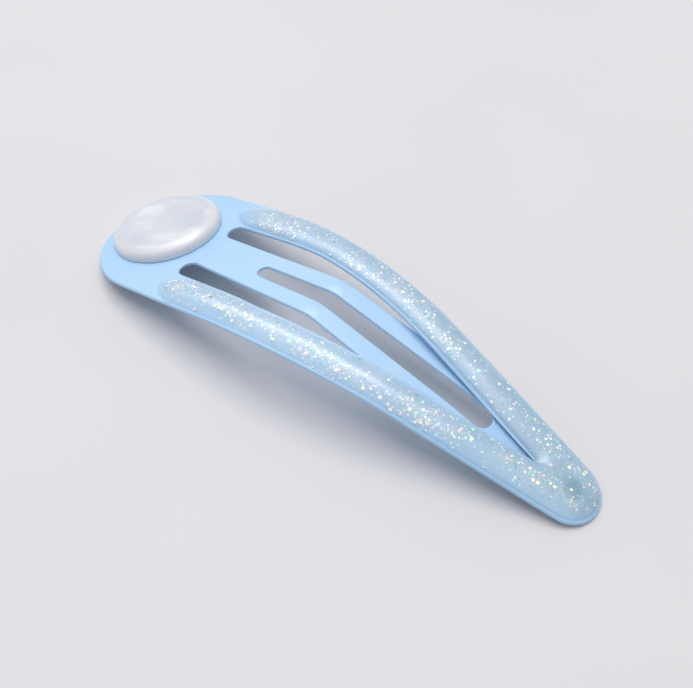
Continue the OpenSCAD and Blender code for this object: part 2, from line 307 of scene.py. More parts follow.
class Nodes:
    """A short way to write the node tree of one material."""

    def __init__(self, name):
        self.material = bpy.data.materials.new(name)
        self.material.use_nodes = True
        self.tree = self.material.node_tree
        self.tree.nodes.clear()
        self.shader = self.tree.nodes.new("ShaderNodeBsdfPrincipled")
        output = self.tree.nodes.new("ShaderNodeOutputMaterial")
        self.tree.links.new(self.shader.outputs[0], output.inputs["Surface"])
        self.object = self.tree.nodes.new("ShaderNodeTexCoord").outputs["Object"]

    def feed(self, socket, value):
        """Sets a socket, or links it where the value comes from another node."""
        if isinstance(value, bpy.types.NodeSocket):
            self.tree.links.new(value, socket)
        else:
            socket.default_value = value

    def finish(self, **values):
        """Sets the shader's own sockets, by names with _ for a space, and gives the material."""
        for key, value in values.items():
            self.feed(self.shader.inputs[key.replace("_", " ")], value)
        return self.material

    def noise(self, scale, detail):
        node = self.tree.nodes.new("ShaderNodeTexNoise")
        self.feed(node.inputs["Vector"], self.object)
        self.feed(node.inputs["Scale"], scale)
        self.feed(node.inputs["Detail"], detail)
        return node.outputs["Fac"]

    def cells(self, scale):
        """Voronoi cells: the distance from a cell's middle, and the cell's own random colour."""
        node = self.tree.nodes.new("ShaderNodeTexVoronoi")
        self.feed(node.inputs["Vector"], self.object)
        self.feed(node.inputs["Scale"], scale)
        return node.outputs["Distance"], node.outputs["Color"]

    def math(self, operation, a, b, c=0.0):
        node = self.tree.nodes.new("ShaderNodeMath")
        node.operation = operation
        for socket, value in zip(node.inputs, (a, b, c)):
            self.feed(socket, value)
        return node.outputs[0]

    def remap(self, value, low, high, to_low=0.0, to_high=1.0):
        """The value's smooth rise from to_low, where it is low, to to_high, where it is high."""
        node = self.tree.nodes.new("ShaderNodeMapRange")
        node.interpolation_type = "SMOOTHSTEP"
        for key, given in (
            ("Value", value),
            ("From Min", low),
            ("From Max", high),
            ("To Min", to_low),
            ("To Max", to_high),
        ):
            self.feed(node.inputs[key], given)
        return node.outputs["Result"]

    def mix(self, factor, a, b):
        node = self.tree.nodes.new("ShaderNodeMix")
        node.data_type = "RGBA"
        self.feed(node.inputs["Factor"], factor)
        self.feed(node.inputs["A"], a)
        self.feed(node.inputs["B"], b)
        return node.outputs["Result"]

    def steps(self, factor, stops):
        """One of several colours, each from its own place of the factor on."""
        node = self.tree.nodes.new("ShaderNodeValToRGB")
        ramp = node.color_ramp
        ramp.interpolation = "CONSTANT"
        while len(ramp.elements) < len(stops):
            ramp.elements.new(0.5)
        for element, (place, colour) in zip(ramp.elements, stops):
            element.position = place
            element.color = colour
        self.feed(node.inputs["Fac"], factor)
        return node.outputs["Color"]

    def vector(self, operation, a, b=(0.0, 0.0, 0.0), scale=1.0):
        node = self.tree.nodes.new("ShaderNodeVectorMath")
        node.operation = operation
        self.feed(node.inputs[0], a)
        if operation == "SCALE":
            self.feed(node.inputs["Scale"], scale)
        else:
            self.feed(node.inputs[1], b)
        return node.outputs[0]

    def distance(self, place):
        """How far the surface is from a point of the frame."""
        node = self.tree.nodes.new("ShaderNodeVectorMath")
        node.operation = "DISTANCE"
        self.feed(node.inputs[0], self.object)
        self.feed(node.inputs[1], place)
        return node.outputs["Value"]

    def split(self, vector):
        node = self.tree.nodes.new("ShaderNodeSeparateXYZ")
        self.feed(node.inputs[0], vector)
        return node.outputs

    def attribute(self, name):
        node = self.tree.nodes.new("ShaderNodeAttribute")
        node.attribute_name = name
        return node.outputs["Fac"]

    def bump(self, height, strength, distance):
        node = self.tree.nodes.new("ShaderNodeBump")
        self.feed(node.inputs["Height"], height)
        self.feed(node.inputs["Strength"], strength)
        self.feed(node.inputs["Distance"], distance)
        return node.outputs["Normal"]


def rgba(colour):
    return (*colour, 1.0)


def blue_paint(sheet):
    """Satin pale blue paint: nearly even, with a faint cloudiness, fine ripples and rare specks."""
    n = Nodes("Pale blue satin paint")
    cloud = n.remap(n.noise(180, 3), 0.35, 0.65)
    colour = n.mix(cloud, rgba(sheet.paint), rgba(sheet.paint_shade))
    distance, own = n.cells(420)
    rare = n.math("GREATER_THAN", n.split(own)[0], 0.985)
    speck = n.math("MULTIPLY", rare, n.math("LESS_THAN", distance, 0.06))
    colour = n.mix(n.math("MULTIPLY", speck, 0.6), colour, rgba((0.12, 0.18, 0.28)))
    ripple = n.math("ADD", n.noise(900, 1), n.math("MULTIPLY", n.noise(4200, 1), 0.25))
    return n.finish(
        Base_Color=colour,
        Roughness=n.remap(n.noise(320, 2), 0.3, 0.7, 0.36, 0.46),
        Specular_IOR_Level=0.5,
        Coat_Weight=0.15,
        Coat_Roughness=0.4,
        Normal=n.bump(ripple, 0.12, 0.02 * MM),
    )


# Where each tint starts in a flake's own random number, and the tint
FLAKE_TINTS = (
    (0.0, (0.97, 0.98, 0.97, 1)),
    (0.3, (0.96, 0.97, 0.68, 1)),
    (0.5, (0.5, 0.95, 0.78, 1)),
    (0.64, (0.45, 0.85, 0.95, 1)),
    (0.74, (0.98, 0.74, 0.78, 1)),
    (0.87, (0.62, 0.66, 0.95, 1)),
    (0.94, (0.2, 0.42, 0.52, 1)),
)
# Distance from the head's end, place of the densest flakes between the inner and the outer edge
# of the arm, and their density there, along each arm
NEAR_FLAKES = (
    (11.3, 0.4, 0),
    (12.2, 0.45, 1.4),
    (14.5, 0.45, 1.3),
    (17.5, 0.5, 0.8),
    (21, 0.6, 0.85),
    (28, 0.6, 0.7),
    (33, 0.6, 0.9),
    (38, 0.6, 1),
    (42, 0.5, 0.7),
    (49, 0.4, 0.6),
)
FAR_FLAKES = (
    (10.6, 0.5, 0),
    (13.2, 0.55, 1.2),
    (16, 0.4, 1.1),
    (19, 0.35, 0.8),
    (23, 0.35, 0.7),
    (27, 0.5, 0.8),
    (31, 0.5, 1.1),
    (34, 0.45, 0.9),
    (37, 0.4, 0.4),
    (41, 0.55, 0.4),
    (49, 0.5, 0.6),
)


def glitter_resin(resin):
    """Clear, faintly blue resin with thin pearly flakes that each lie at their own tilt."""
    n = Nodes("Clear resin with pearl flakes")
    cover, density = n.attribute("cover"), n.attribute("glitter")
    cloud = n.remap(n.noise(260, 3), 0.3, 0.7)
    body = n.mix(cloud, rgba(resin.body), rgba(resin.body_haze))
    # Darker towards the tip, and painted shade along the far arm's outer edge
    body = n.mix(n.attribute("deep"), body, rgba(resin.deep))
    # Paler where the coat is thin at its start, and painted light along the near arm's outer edge
    body = n.mix(n.attribute("thin_and_lit"), body, rgba(resin.thin_and_lit))
    # Fine glitter clouding the resin along the band of flakes, and in part a painted sheen along the
    # arms' middle
    haze_and_sheen = n.math("MULTIPLY", density, n.remap(n.noise(1500, 2), 0.3, 0.7, 0.2, 0.8))
    cover = n.math("MAXIMUM", cover, haze_and_sheen)
    body = n.mix(haze_and_sheen, body, rgba(resin.haze_and_sheen))
    geometry = n.tree.nodes.new("ShaderNodeNewGeometry")
    normal = geometry.outputs["Normal"]
    flakes = 0.0
    colour = body
    tilt = (0.0, 0.0, 0.0)
    for scale, reach, share, strength in resin_layers(resin):
        distance, own = n.cells(scale)
        pick, hue, shine = n.split(own)
        size = n.math("MULTIPLY_ADD", shine, 0.4 * reach, 0.6 * reach)
        inside = n.math("LESS_THAN", distance, size)
        chosen = n.math("LESS_THAN", pick, n.math("MULTIPLY", density, share))
        mask = n.math("MULTIPLY", n.math("MULTIPLY", inside, chosen), strength)
        tint = n.steps(hue, FLAKE_TINTS)
        colour = n.mix(mask, colour, tint)
        flakes = n.math("MAXIMUM", flakes, mask)
        centred = n.vector("SUBTRACT", own, (0.5, 0.5, 0.5))
        leaning = n.vector("SCALE", centred, scale=n.math("MULTIPLY", mask, resin.flake_tilt))
        tilt = n.vector("ADD", tilt, leaning)
    facet = n.vector("NORMALIZE", n.vector("ADD", normal, tilt))
    return n.finish(
        Base_Color=colour,
        Roughness=0.4,
        Alpha=n.math("MAXIMUM", cover, flakes),
        Normal=facet,
        Coat_Weight=1.0,
        Coat_Roughness=0.24,
    )


def resin_layers(resin):
    """Scale, reach, share and strength of each layer of flakes, from the large to the fine."""
    large = 1 / resin.flake_spacing
    return (
        (large * 2.3, 0.5, 1.0, 0.55),
        (large * 1.5, 0.45, 0.95, 0.85),
        (large, 0.45, 0.9, 1.0),
    )


def pearl_white(disc):
    """Smooth white plastic with a faint pearly cloudiness, and a whiter rim and side that are painted
    light.
    """
    n = Nodes("Pearly white plastic")
    cloud = n.remap(n.noise(220, 3), 0.3, 0.7)
    patches = n.remap(n.noise(340, 1.5), 0.5, 0.66)
    colour = n.mix(cloud, rgba(disc.white), rgba(disc.pearl))
    colour = n.mix(n.math("MULTIPLY", patches, 0.55), colour, rgba(disc.bright))
    radius = n.distance(placed(DISC_X, DISC_Y, PLAN.sheet_top(DISC_X)))
    # Painted light: the rim and the side are whitened, standing for the highlight on the rim and the
    # light on the side
    side = n.remap(radius, 0.82 * disc.radius, 0.98 * disc.radius)
    colour = n.mix(side, colour, rgba(disc.side))
    ripple = n.noise(500, 2)
    return n.finish(
        Base_Color=colour,
        Roughness=n.remap(n.noise(300, 2), 0.3, 0.7, 0.34, 0.42),
        Coat_Weight=0.3,
        Coat_Roughness=0.36,
        Normal=n.bump(ripple, 0.2, 0.05 * MM),
    )


def dull_steel(rivet):
    """Steel of the rivet, dulled by the paint round it, with fine scratches, and a lighter middle and
    darker rim of the head painted in as light and shade.
    """
    n = Nodes("Dull painted steel")
    radius = n.distance(placed(RIVET_X, 0, PLAN.sheet_top(RIVET_X)))
    # Painted light and shade: the middle of the head is lighter and its rim darker, with random
    # variation
    lit_top = n.remap(radius, 0.6 * rivet.head_r, rivet.head_r, 1, 0)
    lit_top = n.math("MULTIPLY", lit_top, n.remap(n.noise(2500, 3), 0.3, 0.7, 0.6, 1))
    colour = n.mix(lit_top, rgba(rivet.steel), rgba(rivet.lit_top))
    return n.finish(
        Base_Color=colour,
        Metallic=0.2,
        Roughness=n.remap(n.noise(4000, 2), 0.3, 0.7, 0.45, 0.55),
        Normal=n.bump(n.noise(6000, 2), 0.2, 0.01 * MM),
    )


# Settings


class SheetSettings(bpy.types.PropertyGroup):
    """Sizes and colours of the painted sheet."""

    rim_radius: bpy.props.FloatProperty(
        name="Rim radius",
        description="Rounding that the paint gives the sheet's cut edges",
        default=0.14 * MM,
        min=0.02 * MM,
        max=0.16 * MM,
        precision=6,
        unit="LENGTH",
    )
    flex_length: bpy.props.FloatProperty(
        name="Flex length",
        description="Length over which the roots of the arms bend when the clip opens",
        default=3 * MM,
        min=1 * MM,
        max=6 * MM,
        precision=5,
        unit="LENGTH",
    )
    arm_roll: bpy.props.FloatProperty(
        name="Arm roll",
        description="How far the outer edges of the arms roll down in the middle of the arch",
        default=0.3 * MM,
        min=0,
        max=0.6 * MM,
        precision=5,
        unit="LENGTH",
    )
    paint: bpy.props.FloatVectorProperty(
        name="Paint",
        description="Colour of the satin paint",
        default=(0.44, 0.665, 0.91),
        subtype="COLOR",
        min=0,
        max=1,
    )
    paint_shade: bpy.props.FloatVectorProperty(
        name="Paint shade",
        description="Colour of the paint's faint darker clouds",
        default=(0.41, 0.645, 0.9),
        subtype="COLOR",
        min=0,
        max=1,
    )


class DiscSettings(bpy.types.PropertyGroup):
    """Sizes and colours of the disc on the head."""

    radius: bpy.props.FloatProperty(
        name="Radius",
        description="Radius of the disc",
        default=5 * MM,
        unit="LENGTH",
        precision=5,
    )
    height: bpy.props.FloatProperty(
        name="Height",
        description="Height of the disc's rim over the head",
        default=1.2 * MM,
        unit="LENGTH",
        precision=5,
    )
    rim: bpy.props.FloatProperty(
        name="Rim",
        description="Width of the rim's soft rounding",
        default=1.05 * MM,
        unit="LENGTH",
        precision=6,
    )
    rim_drop: bpy.props.FloatProperty(
        name="Rim drop",
        description="Height of the rim's soft rounding",
        default=0.85 * MM,
        unit="LENGTH",
        precision=6,
    )
    dish: bpy.props.FloatProperty(
        name="Dish",
        description="Depth of the shallow dish inside the rim",
        default=0.08 * MM,
        unit="LENGTH",
        precision=6,
    )
    white: bpy.props.FloatVectorProperty(
        name="White",
        description="Colour of the disc",
        default=(0.67, 0.69, 0.74),
        subtype="COLOR",
        min=0,
        max=1,
    )
    bright: bpy.props.FloatVectorProperty(
        name="Bright pearl",
        description="Colour of the disc's few bright pearly patches",
        default=(0.84, 0.86, 0.9),
        subtype="COLOR",
        min=0,
        max=1,
    )
    # Whiter colour of the rim and the side, which is painted light
    side: bpy.props.FloatVectorProperty(
        name="Side",
        description="Colour of the disc's whiter rim and side",
        default=(0.8, 0.795, 0.82),
        subtype="COLOR",
        min=0,
        max=1,
    )
    pearl: bpy.props.FloatVectorProperty(
        name="Pearl",
        description="Colour of the disc's faint clouds",
        default=(0.61, 0.64, 0.71),
        subtype="COLOR",
        min=0,
        max=1,
    )


class ResinSettings(bpy.types.PropertyGroup):
    """Sizes and colours of the glitter coat."""

    height: bpy.props.FloatProperty(
        name="Height",
        description="Height of the dome over the middle of an arm",
        default=0.6 * MM,
        unit="LENGTH",
        precision=6,
    )
    margin: bpy.props.FloatProperty(
        name="Margin",
        description="Bare margin between the coat and the edge of the sheet",
        default=0.04 * MM,
        unit="LENGTH",
        precision=6,
    )
    near_start: bpy.props.FloatProperty(
        name="Near start",
        description="Distance from the head's end to the start of the coat on the near arm",
        default=10.6 * MM,
        unit="LENGTH",
        precision=5,
    )
    far_start: bpy.props.FloatProperty(
        name="Far start",
        description="Distance from the head's end to the start of the coat on the far arm",
        default=9.3 * MM,
        unit="LENGTH",
        precision=5,
    )
    start_length: bpy.props.FloatProperty(
        name="Start length",
        description="Length over which each start of the coat widens to the arm's full width",
        default=3 * MM,
        unit="LENGTH",
        precision=5,
    )
    flake_spacing: bpy.props.FloatProperty(
        name="Flake spacing",
        description="Distance between the places of the large flakes",
        default=0.36 * MM,
        unit="LENGTH",
        precision=6,
    )
    flake_tilt: bpy.props.FloatProperty(
        name="Flake tilt",
        description="How far the flakes lean out of the coat's surface, from 0 for none",
        default=0.45,
        min=0,
        max=2,
    )
    edge_alpha: bpy.props.FloatProperty(
        name="Edge opacity",
        description="How much of the sheet the thin edge of the coat hides",
        default=0.5,
        min=0,
        max=1,
        subtype="FACTOR",
    )
    middle_alpha: bpy.props.FloatProperty(
        name="Middle opacity",
        description="How much of the sheet the thick middle of the coat hides",
        default=0.65,
        min=0,
        max=1,
        subtype="FACTOR",
    )
    body: bpy.props.FloatVectorProperty(
        name="Body",
        description="Colour of the resin",
        default=(0.46, 0.68, 0.8),
        subtype="COLOR",
        min=0,
        max=1,
    )
    body_haze: bpy.props.FloatVectorProperty(
        name="Paler body",
        description="Colour of the paler clouds in the resin",
        default=(0.58, 0.71, 0.85),
        subtype="COLOR",
        min=0,
        max=1,
    )
    # Darker colour of the resin towards the tip, also used as painted shade along the far arm's outer
    # edge
    deep: bpy.props.FloatVectorProperty(
        name="Deep body",
        description="Colour of the resin towards the tip, where it is thicker",
        default=(0.41, 0.6, 0.72),
        subtype="COLOR",
        min=0,
        max=1,
    )
    # Colour of the thin resin at the coat's start, also used as painted light along the near arm's
    # outer edge
    thin_and_lit: bpy.props.FloatVectorProperty(
        name="Thin body",
        description="Colour of the resin where it is thin and the paint shines through",
        default=(0.57, 0.8, 0.98),
        subtype="COLOR",
        min=0,
        max=1,
    )
    # Colour of the fine glitter haze, which also stands for part of the sheen along the arms' middle as
    # painted sheen
    haze_and_sheen: bpy.props.FloatVectorProperty(
        name="Haze",
        description="Colour of the finest glitter, which clouds the resin between the flakes",
        default=(0.78, 0.84, 0.9),
        subtype="COLOR",
        min=0,
        max=1,
    )


class RivetSettings(bpy.types.PropertyGroup):
    """Sizes and colours of the rivet in the tip."""

    head_r: bpy.props.FloatProperty(
        name="Head radius",
        description="Radius of the rivet's two heads",
        default=0.65 * MM,
        unit="LENGTH",
        precision=6,
    )
    shank_r: bpy.props.FloatProperty(
        name="Shank radius",
        description="Radius of the rivet's shank",
        default=0.35 * MM,
        unit="LENGTH",
        precision=6,
    )
    head_h: bpy.props.FloatProperty(
        name="Head height",
        description="Height of each head",
        default=0.22 * MM,
        unit="LENGTH",
        precision=6,
    )
    steel: bpy.props.FloatVectorProperty(
        name="Steel",
        description="Colour of the rivet",
        default=(0.2, 0.37, 0.45),
        subtype="COLOR",
        min=0,
        max=1,
    )
    # Lighter colour of the head's middle, which is painted light
    lit_top: bpy.props.FloatVectorProperty(
        name="Worn steel",
        description="Colour where the rivet is rubbed",
        default=(0.28, 0.48, 0.56),
        subtype="COLOR",
        min=0,
        max=1,
    )


class StageSettings(bpy.types.PropertyGroup):
    """The floor, the lights and the camera."""

    floor: bpy.props.FloatVectorProperty(
        name="Floor",
        description="Colour of the plain floor",
        default=(0.77, 0.745, 0.755),
        subtype="COLOR",
        min=0,
        max=1,
    )
    key_power: bpy.props.FloatProperty(
        name="Key light",
        description="Power of the large light above the clip, in watts",
        default=1.55,
        min=0,
        max=50,
    )
    sheen_power: bpy.props.FloatProperty(
        name="Sheen light",
        description="Power of the long light whose sheen runs along the arms, in watts",
        default=1.6,
        min=0,
        max=50,
    )
    sky_low: bpy.props.FloatProperty(
        name="Low sky",
        description="Strength of the sky on the camera's side",
        default=0.31,
        min=0,
        max=5,
    )
    sky_high: bpy.props.FloatProperty(
        name="High sky",
        description="Strength of the sky above and behind the clip",
        default=0.62,
        min=0,
        max=5,
    )
    azimuth: bpy.props.FloatProperty(
        name="Azimuth",
        description="Direction from which the camera looks, counted from the clip's near side",
        default=math.radians(37.003),
        subtype="ANGLE",
    )
    elevation: bpy.props.FloatProperty(
        name="Elevation",
        description="Height of the camera's direction above the floor",
        default=math.radians(49.277),
        subtype="ANGLE",
    )
    roll: bpy.props.FloatProperty(
        name="Roll",
        description="Turn of the camera about its own direction",
        default=math.radians(2.0),
        subtype="ANGLE",
    )
    distance: bpy.props.FloatProperty(
        name="Distance",
        description="Distance from the camera to the point that it looks at",
        default=75 * MM,
        unit="LENGTH",
        precision=5,
    )
    target: bpy.props.FloatVectorProperty(
        name="Target",
        description="Point that the camera looks at",
        default=(0.5 * MM, 1.396 * MM, -0.1 * MM),
        subtype="TRANSLATION",
        precision=6,
    )
    lens: bpy.props.FloatProperty(
        name="Lens",
        description="Focal length of the camera, in millimetres",
        default=45.7527,
        min=10,
        max=200,
    )


class ClipSettings(bpy.types.PropertyGroup):
    """Everything that a user would change."""

    sheet: bpy.props.PointerProperty(type=SheetSettings)
    disc: bpy.props.PointerProperty(type=DiscSettings)
    resin: bpy.props.PointerProperty(type=ResinSettings)
    rivet: bpy.props.PointerProperty(type=RivetSettings)
    stage: bpy.props.PointerProperty(type=StageSettings)


class HAIRCLIP_OT_sheet(bpy.types.Operator):
    """Make the painted head with its tongue, and the painted arms"""

    bl_idname = "hairclip.sheet"
    bl_label = "Painted Sheet"

    # Cuts across the stretch of the arms that bends when the clip opens
    flex_steps = 8

    def execute(self, context):
        sheet = context.scene.hair_clip.sheet
        paint = blue_paint(sheet)
        head = self.head(sheet, paint)
        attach(head, "head")
        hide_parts("head_tongue")
        arms = self.arms(sheet, paint)
        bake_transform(arms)
        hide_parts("arms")
        return {"FINISHED"}

    def head(self, sheet, paint):
        """The head and the tongue."""
        bm = merged_copy("head_tongue")
        rounded_rims(bm, sheet.rim_radius)
        cut_across(bm, [ROOT_X - CREASE, ROOT_X + CREASE])
        piece = finished_mesh(bm, "painted_head", paint)
        seam_edges_sharp(piece.data)
        return smooth_with_flat_faces(piece)

    def arms(self, sheet, paint):
        """The arms, with the seam's gap closed, cuts where they bend, and rolled outer edges."""
        bm = merged_copy("arms")
        root = min(v.co.x for v in bm.verts)
        for v in bm.verts:
            if v.co.x < root + WELD:
                shift = placed(ROOT_X, 0, 0).x - v.co.x
                v.co += Vector((shift, 0, shift * math.tan(HEAD_ANGLE)))
        rounded_rims(bm, sheet.rim_radius)
        cuts = [sheet.flex_length * (i + 1) / self.flex_steps for i in range(self.flex_steps)]
        cut_across(bm, [ROOT_X + cut for cut in cuts])
        for v in bm.verts:
            v.co.z -= PLAN.drop(v.co.x + CLIP_LEN / 2, v.co.y, sheet.arm_roll)
        piece = finished_mesh(bm, "painted_arms", paint)
        seam_edges_sharp(piece.data)
        return smooth_with_flat_faces(piece)


class HAIRCLIP_OT_disc(bpy.types.Operator):
    """Make the white disc on the head, with its soft rim and shallow dish"""

    bl_idname = "hairclip.disc"
    bl_label = "White Disc"

    # Steps round the disc, and steps of its outline along the dish and along the rim
    turns, steps = 128, 14
    # Share of the dish's radius in which it is flat
    flat = 0.6
    # Height of the large and of the fine waves, and the share by which the large ones narrow it
    large_wave, fine_wave, narrowing = 0.05 * MM, 0.02 * MM, 0.0015

    def execute(self, context):
        disc = context.scene.hair_clip.disc
        bm = bmesh.new()
        spun(bm, self.outline(disc), self.turns)
        self.wave(bm, disc)
        bmesh.ops.transform(bm, matrix=on_sheet(DISC_X, DISC_Y, -HEAD_ANGLE), verts=bm.verts)
        piece = finished_mesh(bm, "pearl_disc", pearl_white(disc))
        smooth(piece)
        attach(piece, "head")
        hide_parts("white_disc")
        return {"FINISHED"}

    def outline(self, disc):
        """The disc's outline, from the middle of the dish over the rim to the middle below."""
        r, h = disc.radius, disc.height
        floor, crest = h - disc.dish, r - disc.rim
        points = [(share * crest, floor) for share in (0, 0.25, 0.5, self.flat)]
        for i in range(self.steps):
            share = (i + 1) / (self.steps + 1)
            out = (self.flat + (1 - self.flat) * share) * crest
            points.append((out, floor + disc.dish * smoothstep(share, 0, 1)))
        for i in range(self.steps + 1):
            turn = math.pi / 2 * i / self.steps
            lower = disc.rim_drop * (1 - math.cos(turn))
            points.append((crest + disc.rim * math.sin(turn), h - lower))
        return points + [(r, 0.12 * h), (r, 0.05 * h), (0.99 * r, 0.02 * h), (0, 0.02 * h)]

    def wave(self, bm, disc):
        """Gives the disc the faint waves of a cast piece."""
        for v in bm.verts:
            at = v.co / disc.radius
            large = noise.noise(at * 1.7 + Vector((3, 5, 7)))
            fine = noise.noise(at * 5 + Vector((11, 2, 4)))
            reach = math.hypot(at.x, at.y)
            lift = self.large_wave * large + self.fine_wave * fine
            v.co.z += lift * min(v.co.z / disc.height, 1)
            if reach > 0.5:
                v.co.xy *= 1 - self.narrowing * (1 + large) * reach


class HAIRCLIP_OT_rivet(bpy.types.Operator):
    """Make the small rivet in the tip"""

    bl_idname = "hairclip.rivet"
    bl_label = "Rivet"

    # Steps round the rivet
    turns = 32

    def execute(self, context):
        rivet = context.scene.hair_clip.rivet
        r, s, h = rivet.head_r, rivet.shank_r, rivet.head_h
        outline = (
            (0, 0.9 * h),
            (0.3 * r, h),
            (0.62 * r, h),
            (0.88 * r, 0.75 * h),
            (r, 0.35 * h),
            (r, 0.02 * h),
            (s, 0.02 * h),
            (s, -SHEET_T - 0.02 * h),
            (r, -SHEET_T - 0.02 * h),
            (r, -SHEET_T - 0.5 * h),
            (0.8 * r, -SHEET_T - 0.9 * h),
            (0.4 * r, -SHEET_T - 1.05 * h),
            (0, -SHEET_T - 1.1 * h),
        )
        bm = bmesh.new()
        spun(bm, outline, self.turns)
        seat = on_sheet(RIVET_X, 0, PLAN.tip_angle)
        bmesh.ops.transform(bm, matrix=seat, verts=bm.verts)
        piece = finished_mesh(bm, "tip_rivet_skin", dull_steel(rivet))
        smooth_with_flat_faces(piece)
        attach(piece, "arms")
        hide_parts("tip_rivet")
        return {"FINISHED"}


class CoatArm:
    """The coat along one arm: where its points lie, and how it looks at each of them."""

    # Steps across the coat, along each of its round ends, and along the arm between them
    columns, caps, run = 18, 12, 96
    # How far the coat laps over the window's edge, and between which places it comes to that
    lap, lap_from, lap_to = 0.08 * MM, 38 * MM, 44 * MM
    # How deep the coat's edge and its underside sit in the sheet
    edge_sink, base_sink = 0.05 * MM, 0.1 * MM
    # How uneven the outline of the round start is, and the dome, as a share of its height
    wobble, ripple = 0.03 * MM, 0.07
    # Share of the dome's height at the very start, and the length in which a whole height is gained
    start_share, rise = 0.65, 9 * MM
    # Between which places the resin gets darker towards the tip
    deep_from, deep_to = 35 * MM, 47 * MM
    # How far from its start the coat is thin, and where nothing of that is left
    thin_length, thin_end = 1 * MM, 5 * MM
    # Radii round the rivet in which the coat gets clearer, and by how much
    clear_from, clear_to, clearer = 1.1 * MM, 0.5 * MM, 0.45
    # Half the width of the band of flakes, as a share of the arm's width, and the least share of
    # its flakes that show beside it
    band, beside = 0.32, 0.06

    def __init__(self, resin, roll, side, start):
        self.resin, self.roll, self.side, self.start = resin, roll, side, start
        self.full_x = start + resin.start_length
        self.tip_x, self.tip_reach = CLIP_LEN - TIP_R, TIP_R - resin.margin
        self.root_y = (HEAD_R + WINDOW_W / 2) / 2
        self.half_w = (HEAD_R - WINDOW_W / 2) / 2 - resin.margin
        self.point_x = (PLAN.side_reach - ARM_W - self.lap) / math.sin(PLAN.side_angle)

    def stations(self):
        """Places along the clip, from the coat's round start to the end of the tip."""
        quarter = [math.pi / 2 * (i + 0.4) / self.caps for i in range(self.caps)]
        start = [self.full_x - self.resin.start_length * math.cos(a) for a in quarter]
        arm = [self.full_x + (self.tip_x - self.full_x) * i / self.run for i in range(self.run)]
        tip = [self.tip_x + self.tip_reach * math.sin(a) for a in quarter]
        return start + arm + tip

    def section(self):
        """Places across the top, from 0 at the inner edge to 1 at the outer one, and back below."""
        top = [(1 - math.cos(math.pi * j / self.columns)) / 2 for j in range(self.columns + 1)]
        return [(across, True) for across in top] + [(1.0, False), (0.0, False)]

    def lead(self, x):
        """How near x is to the coat's start, from 0 where it has its full width to 1 at the start."""
        return max(self.full_x - x, 0) / self.resin.start_length

    def edges(self, x):
        """Distance of the coat's inner and outer edge from the clip's middle."""
        lead = self.lead(x)
        if lead > 0:
            wobble = self.wobble * noise.noise(Vector((x * 700, self.side * 3, 0)))
            spread = self.half_w * (1 - lead**2) ** 0.7 + wobble * lead
            return self.root_y - spread, self.root_y + spread
        margin = self.resin.margin
        inset = margin - (margin + self.lap) * smoothstep(x, self.lap_from, self.lap_to)
        return PLAN.window_edge(x, inset), PLAN.half_width(x, margin)

    def depth(self, x, y, across):
        """How far the place lies inside the coat's edges, as a share of half the coat's width."""
        lead = self.lead(x)
        if lead > 0:
            return max(1 - math.hypot(lead, math.sqrt(1 - lead**2) * (2 * across - 1)), 0)
        inner, outer = self.edges(x)
        edge = outer - y if x < self.tip_x else self.tip_reach - math.hypot(x - self.tip_x, y)
        gap = y - inner if x < self.point_x else math.hypot(x - self.point_x, y)
        return min(max(min(edge, gap), 0) / self.half_w, 1)

    def dome(self, x, y, across, depth):
        """Height of the coat over its own edge. It rises more slowly from the near arm's outer edge."""
        ripple = noise.noise(Vector((x, self.side * y, 0)) * 260 + Vector((0, 0, 9)))
        slow = smoothstep(-self.side * across, 0.5, 0.8)
        crown = (1 - (1 - depth) ** 2) ** (0.6 + 0.3 * slow)
        height = self.resin.height * crown * (1 + self.ripple * ripple)
        return height * min(self.start_share + (x - self.start) / self.rise, 1)

    def point(self, x, across, on_top):
        """A point of the coat in the frame, and the look that goes with it."""
        inner, outer = self.edges(x)
        y = inner + (outer - inner) * across
        depth = self.depth(x, y, across)
        z = PLAN.sheet_top(x) - PLAN.drop(x, y, self.roll)
        z += self.dome(x, y, across, depth) - self.edge_sink if on_top else -self.base_sink
        return placed(x, self.side * y, z), self.look(x, y, across, depth)

    def look(self, x, y, across, depth):
        """How much the coat hides the sheet, how many flakes it shows, how much darker it is towards
        the tip and with painted shade on the far arm's outer edge, and how thin it is with painted
        light on the near arm's outer edge.
        """
        resin = self.resin
        # Painted shade: the far arm's outer edge gets the darker resin colour
        far_rim_shade = smoothstep(self.side * across, 0.4, 0.8)
        # Painted light: the near arm's outer edge gets the paler thin resin colour
        near_rim_light = smoothstep(-self.side * across, 0.35, 0.85)
        # Darker towards the tip, and along the far arm's outer edge as painted shade
        deep = max(smoothstep(x, self.deep_from, self.deep_to), 0.8 * far_rim_shade)
        thin_and_lit = smoothstep(x, self.start + self.thin_end, self.start + self.thin_length)
        over_rivet = smoothstep(math.hypot(x - RIVET_X, y), self.clear_from, self.clear_to)
        cover = resin.edge_alpha + (resin.middle_alpha - resin.edge_alpha) * depth + 0.15 * deep
        cover *= smoothstep(depth, 0, 0.2) * (1 - self.clearer * over_rivet)
        flakes = self.flakes(x, across) * smoothstep(depth, 0.03, 0.25)
        return cover, flakes, deep, max(thin_and_lit, near_rim_light)

    def flakes(self, x, across):
        """How many flakes show there, in a loose band along the arm with clusters in it."""
        rows = FAR_FLAKES if self.side > 0 else NEAR_FLAKES
        if x < rows[0][0] * MM:
            return 0
        after = next((i for i, row in enumerate(rows) if row[0] * MM > x), len(rows) - 1)
        low, high = rows[after - 1], rows[after]
        share = min((x / MM - low[0]) / (high[0] - low[0]), 1)
        centre = low[1] + (high[1] - low[1]) * share
        density = low[2] + (high[2] - low[2]) * share
        band = math.exp(-(((across - centre) / self.band) ** 2))
        cluster = 0.65 + 0.8 * noise.noise(Vector((x * 500, self.side * 4, across * 2)))
        return min(max(density * band * cluster, self.beside * density), 1)


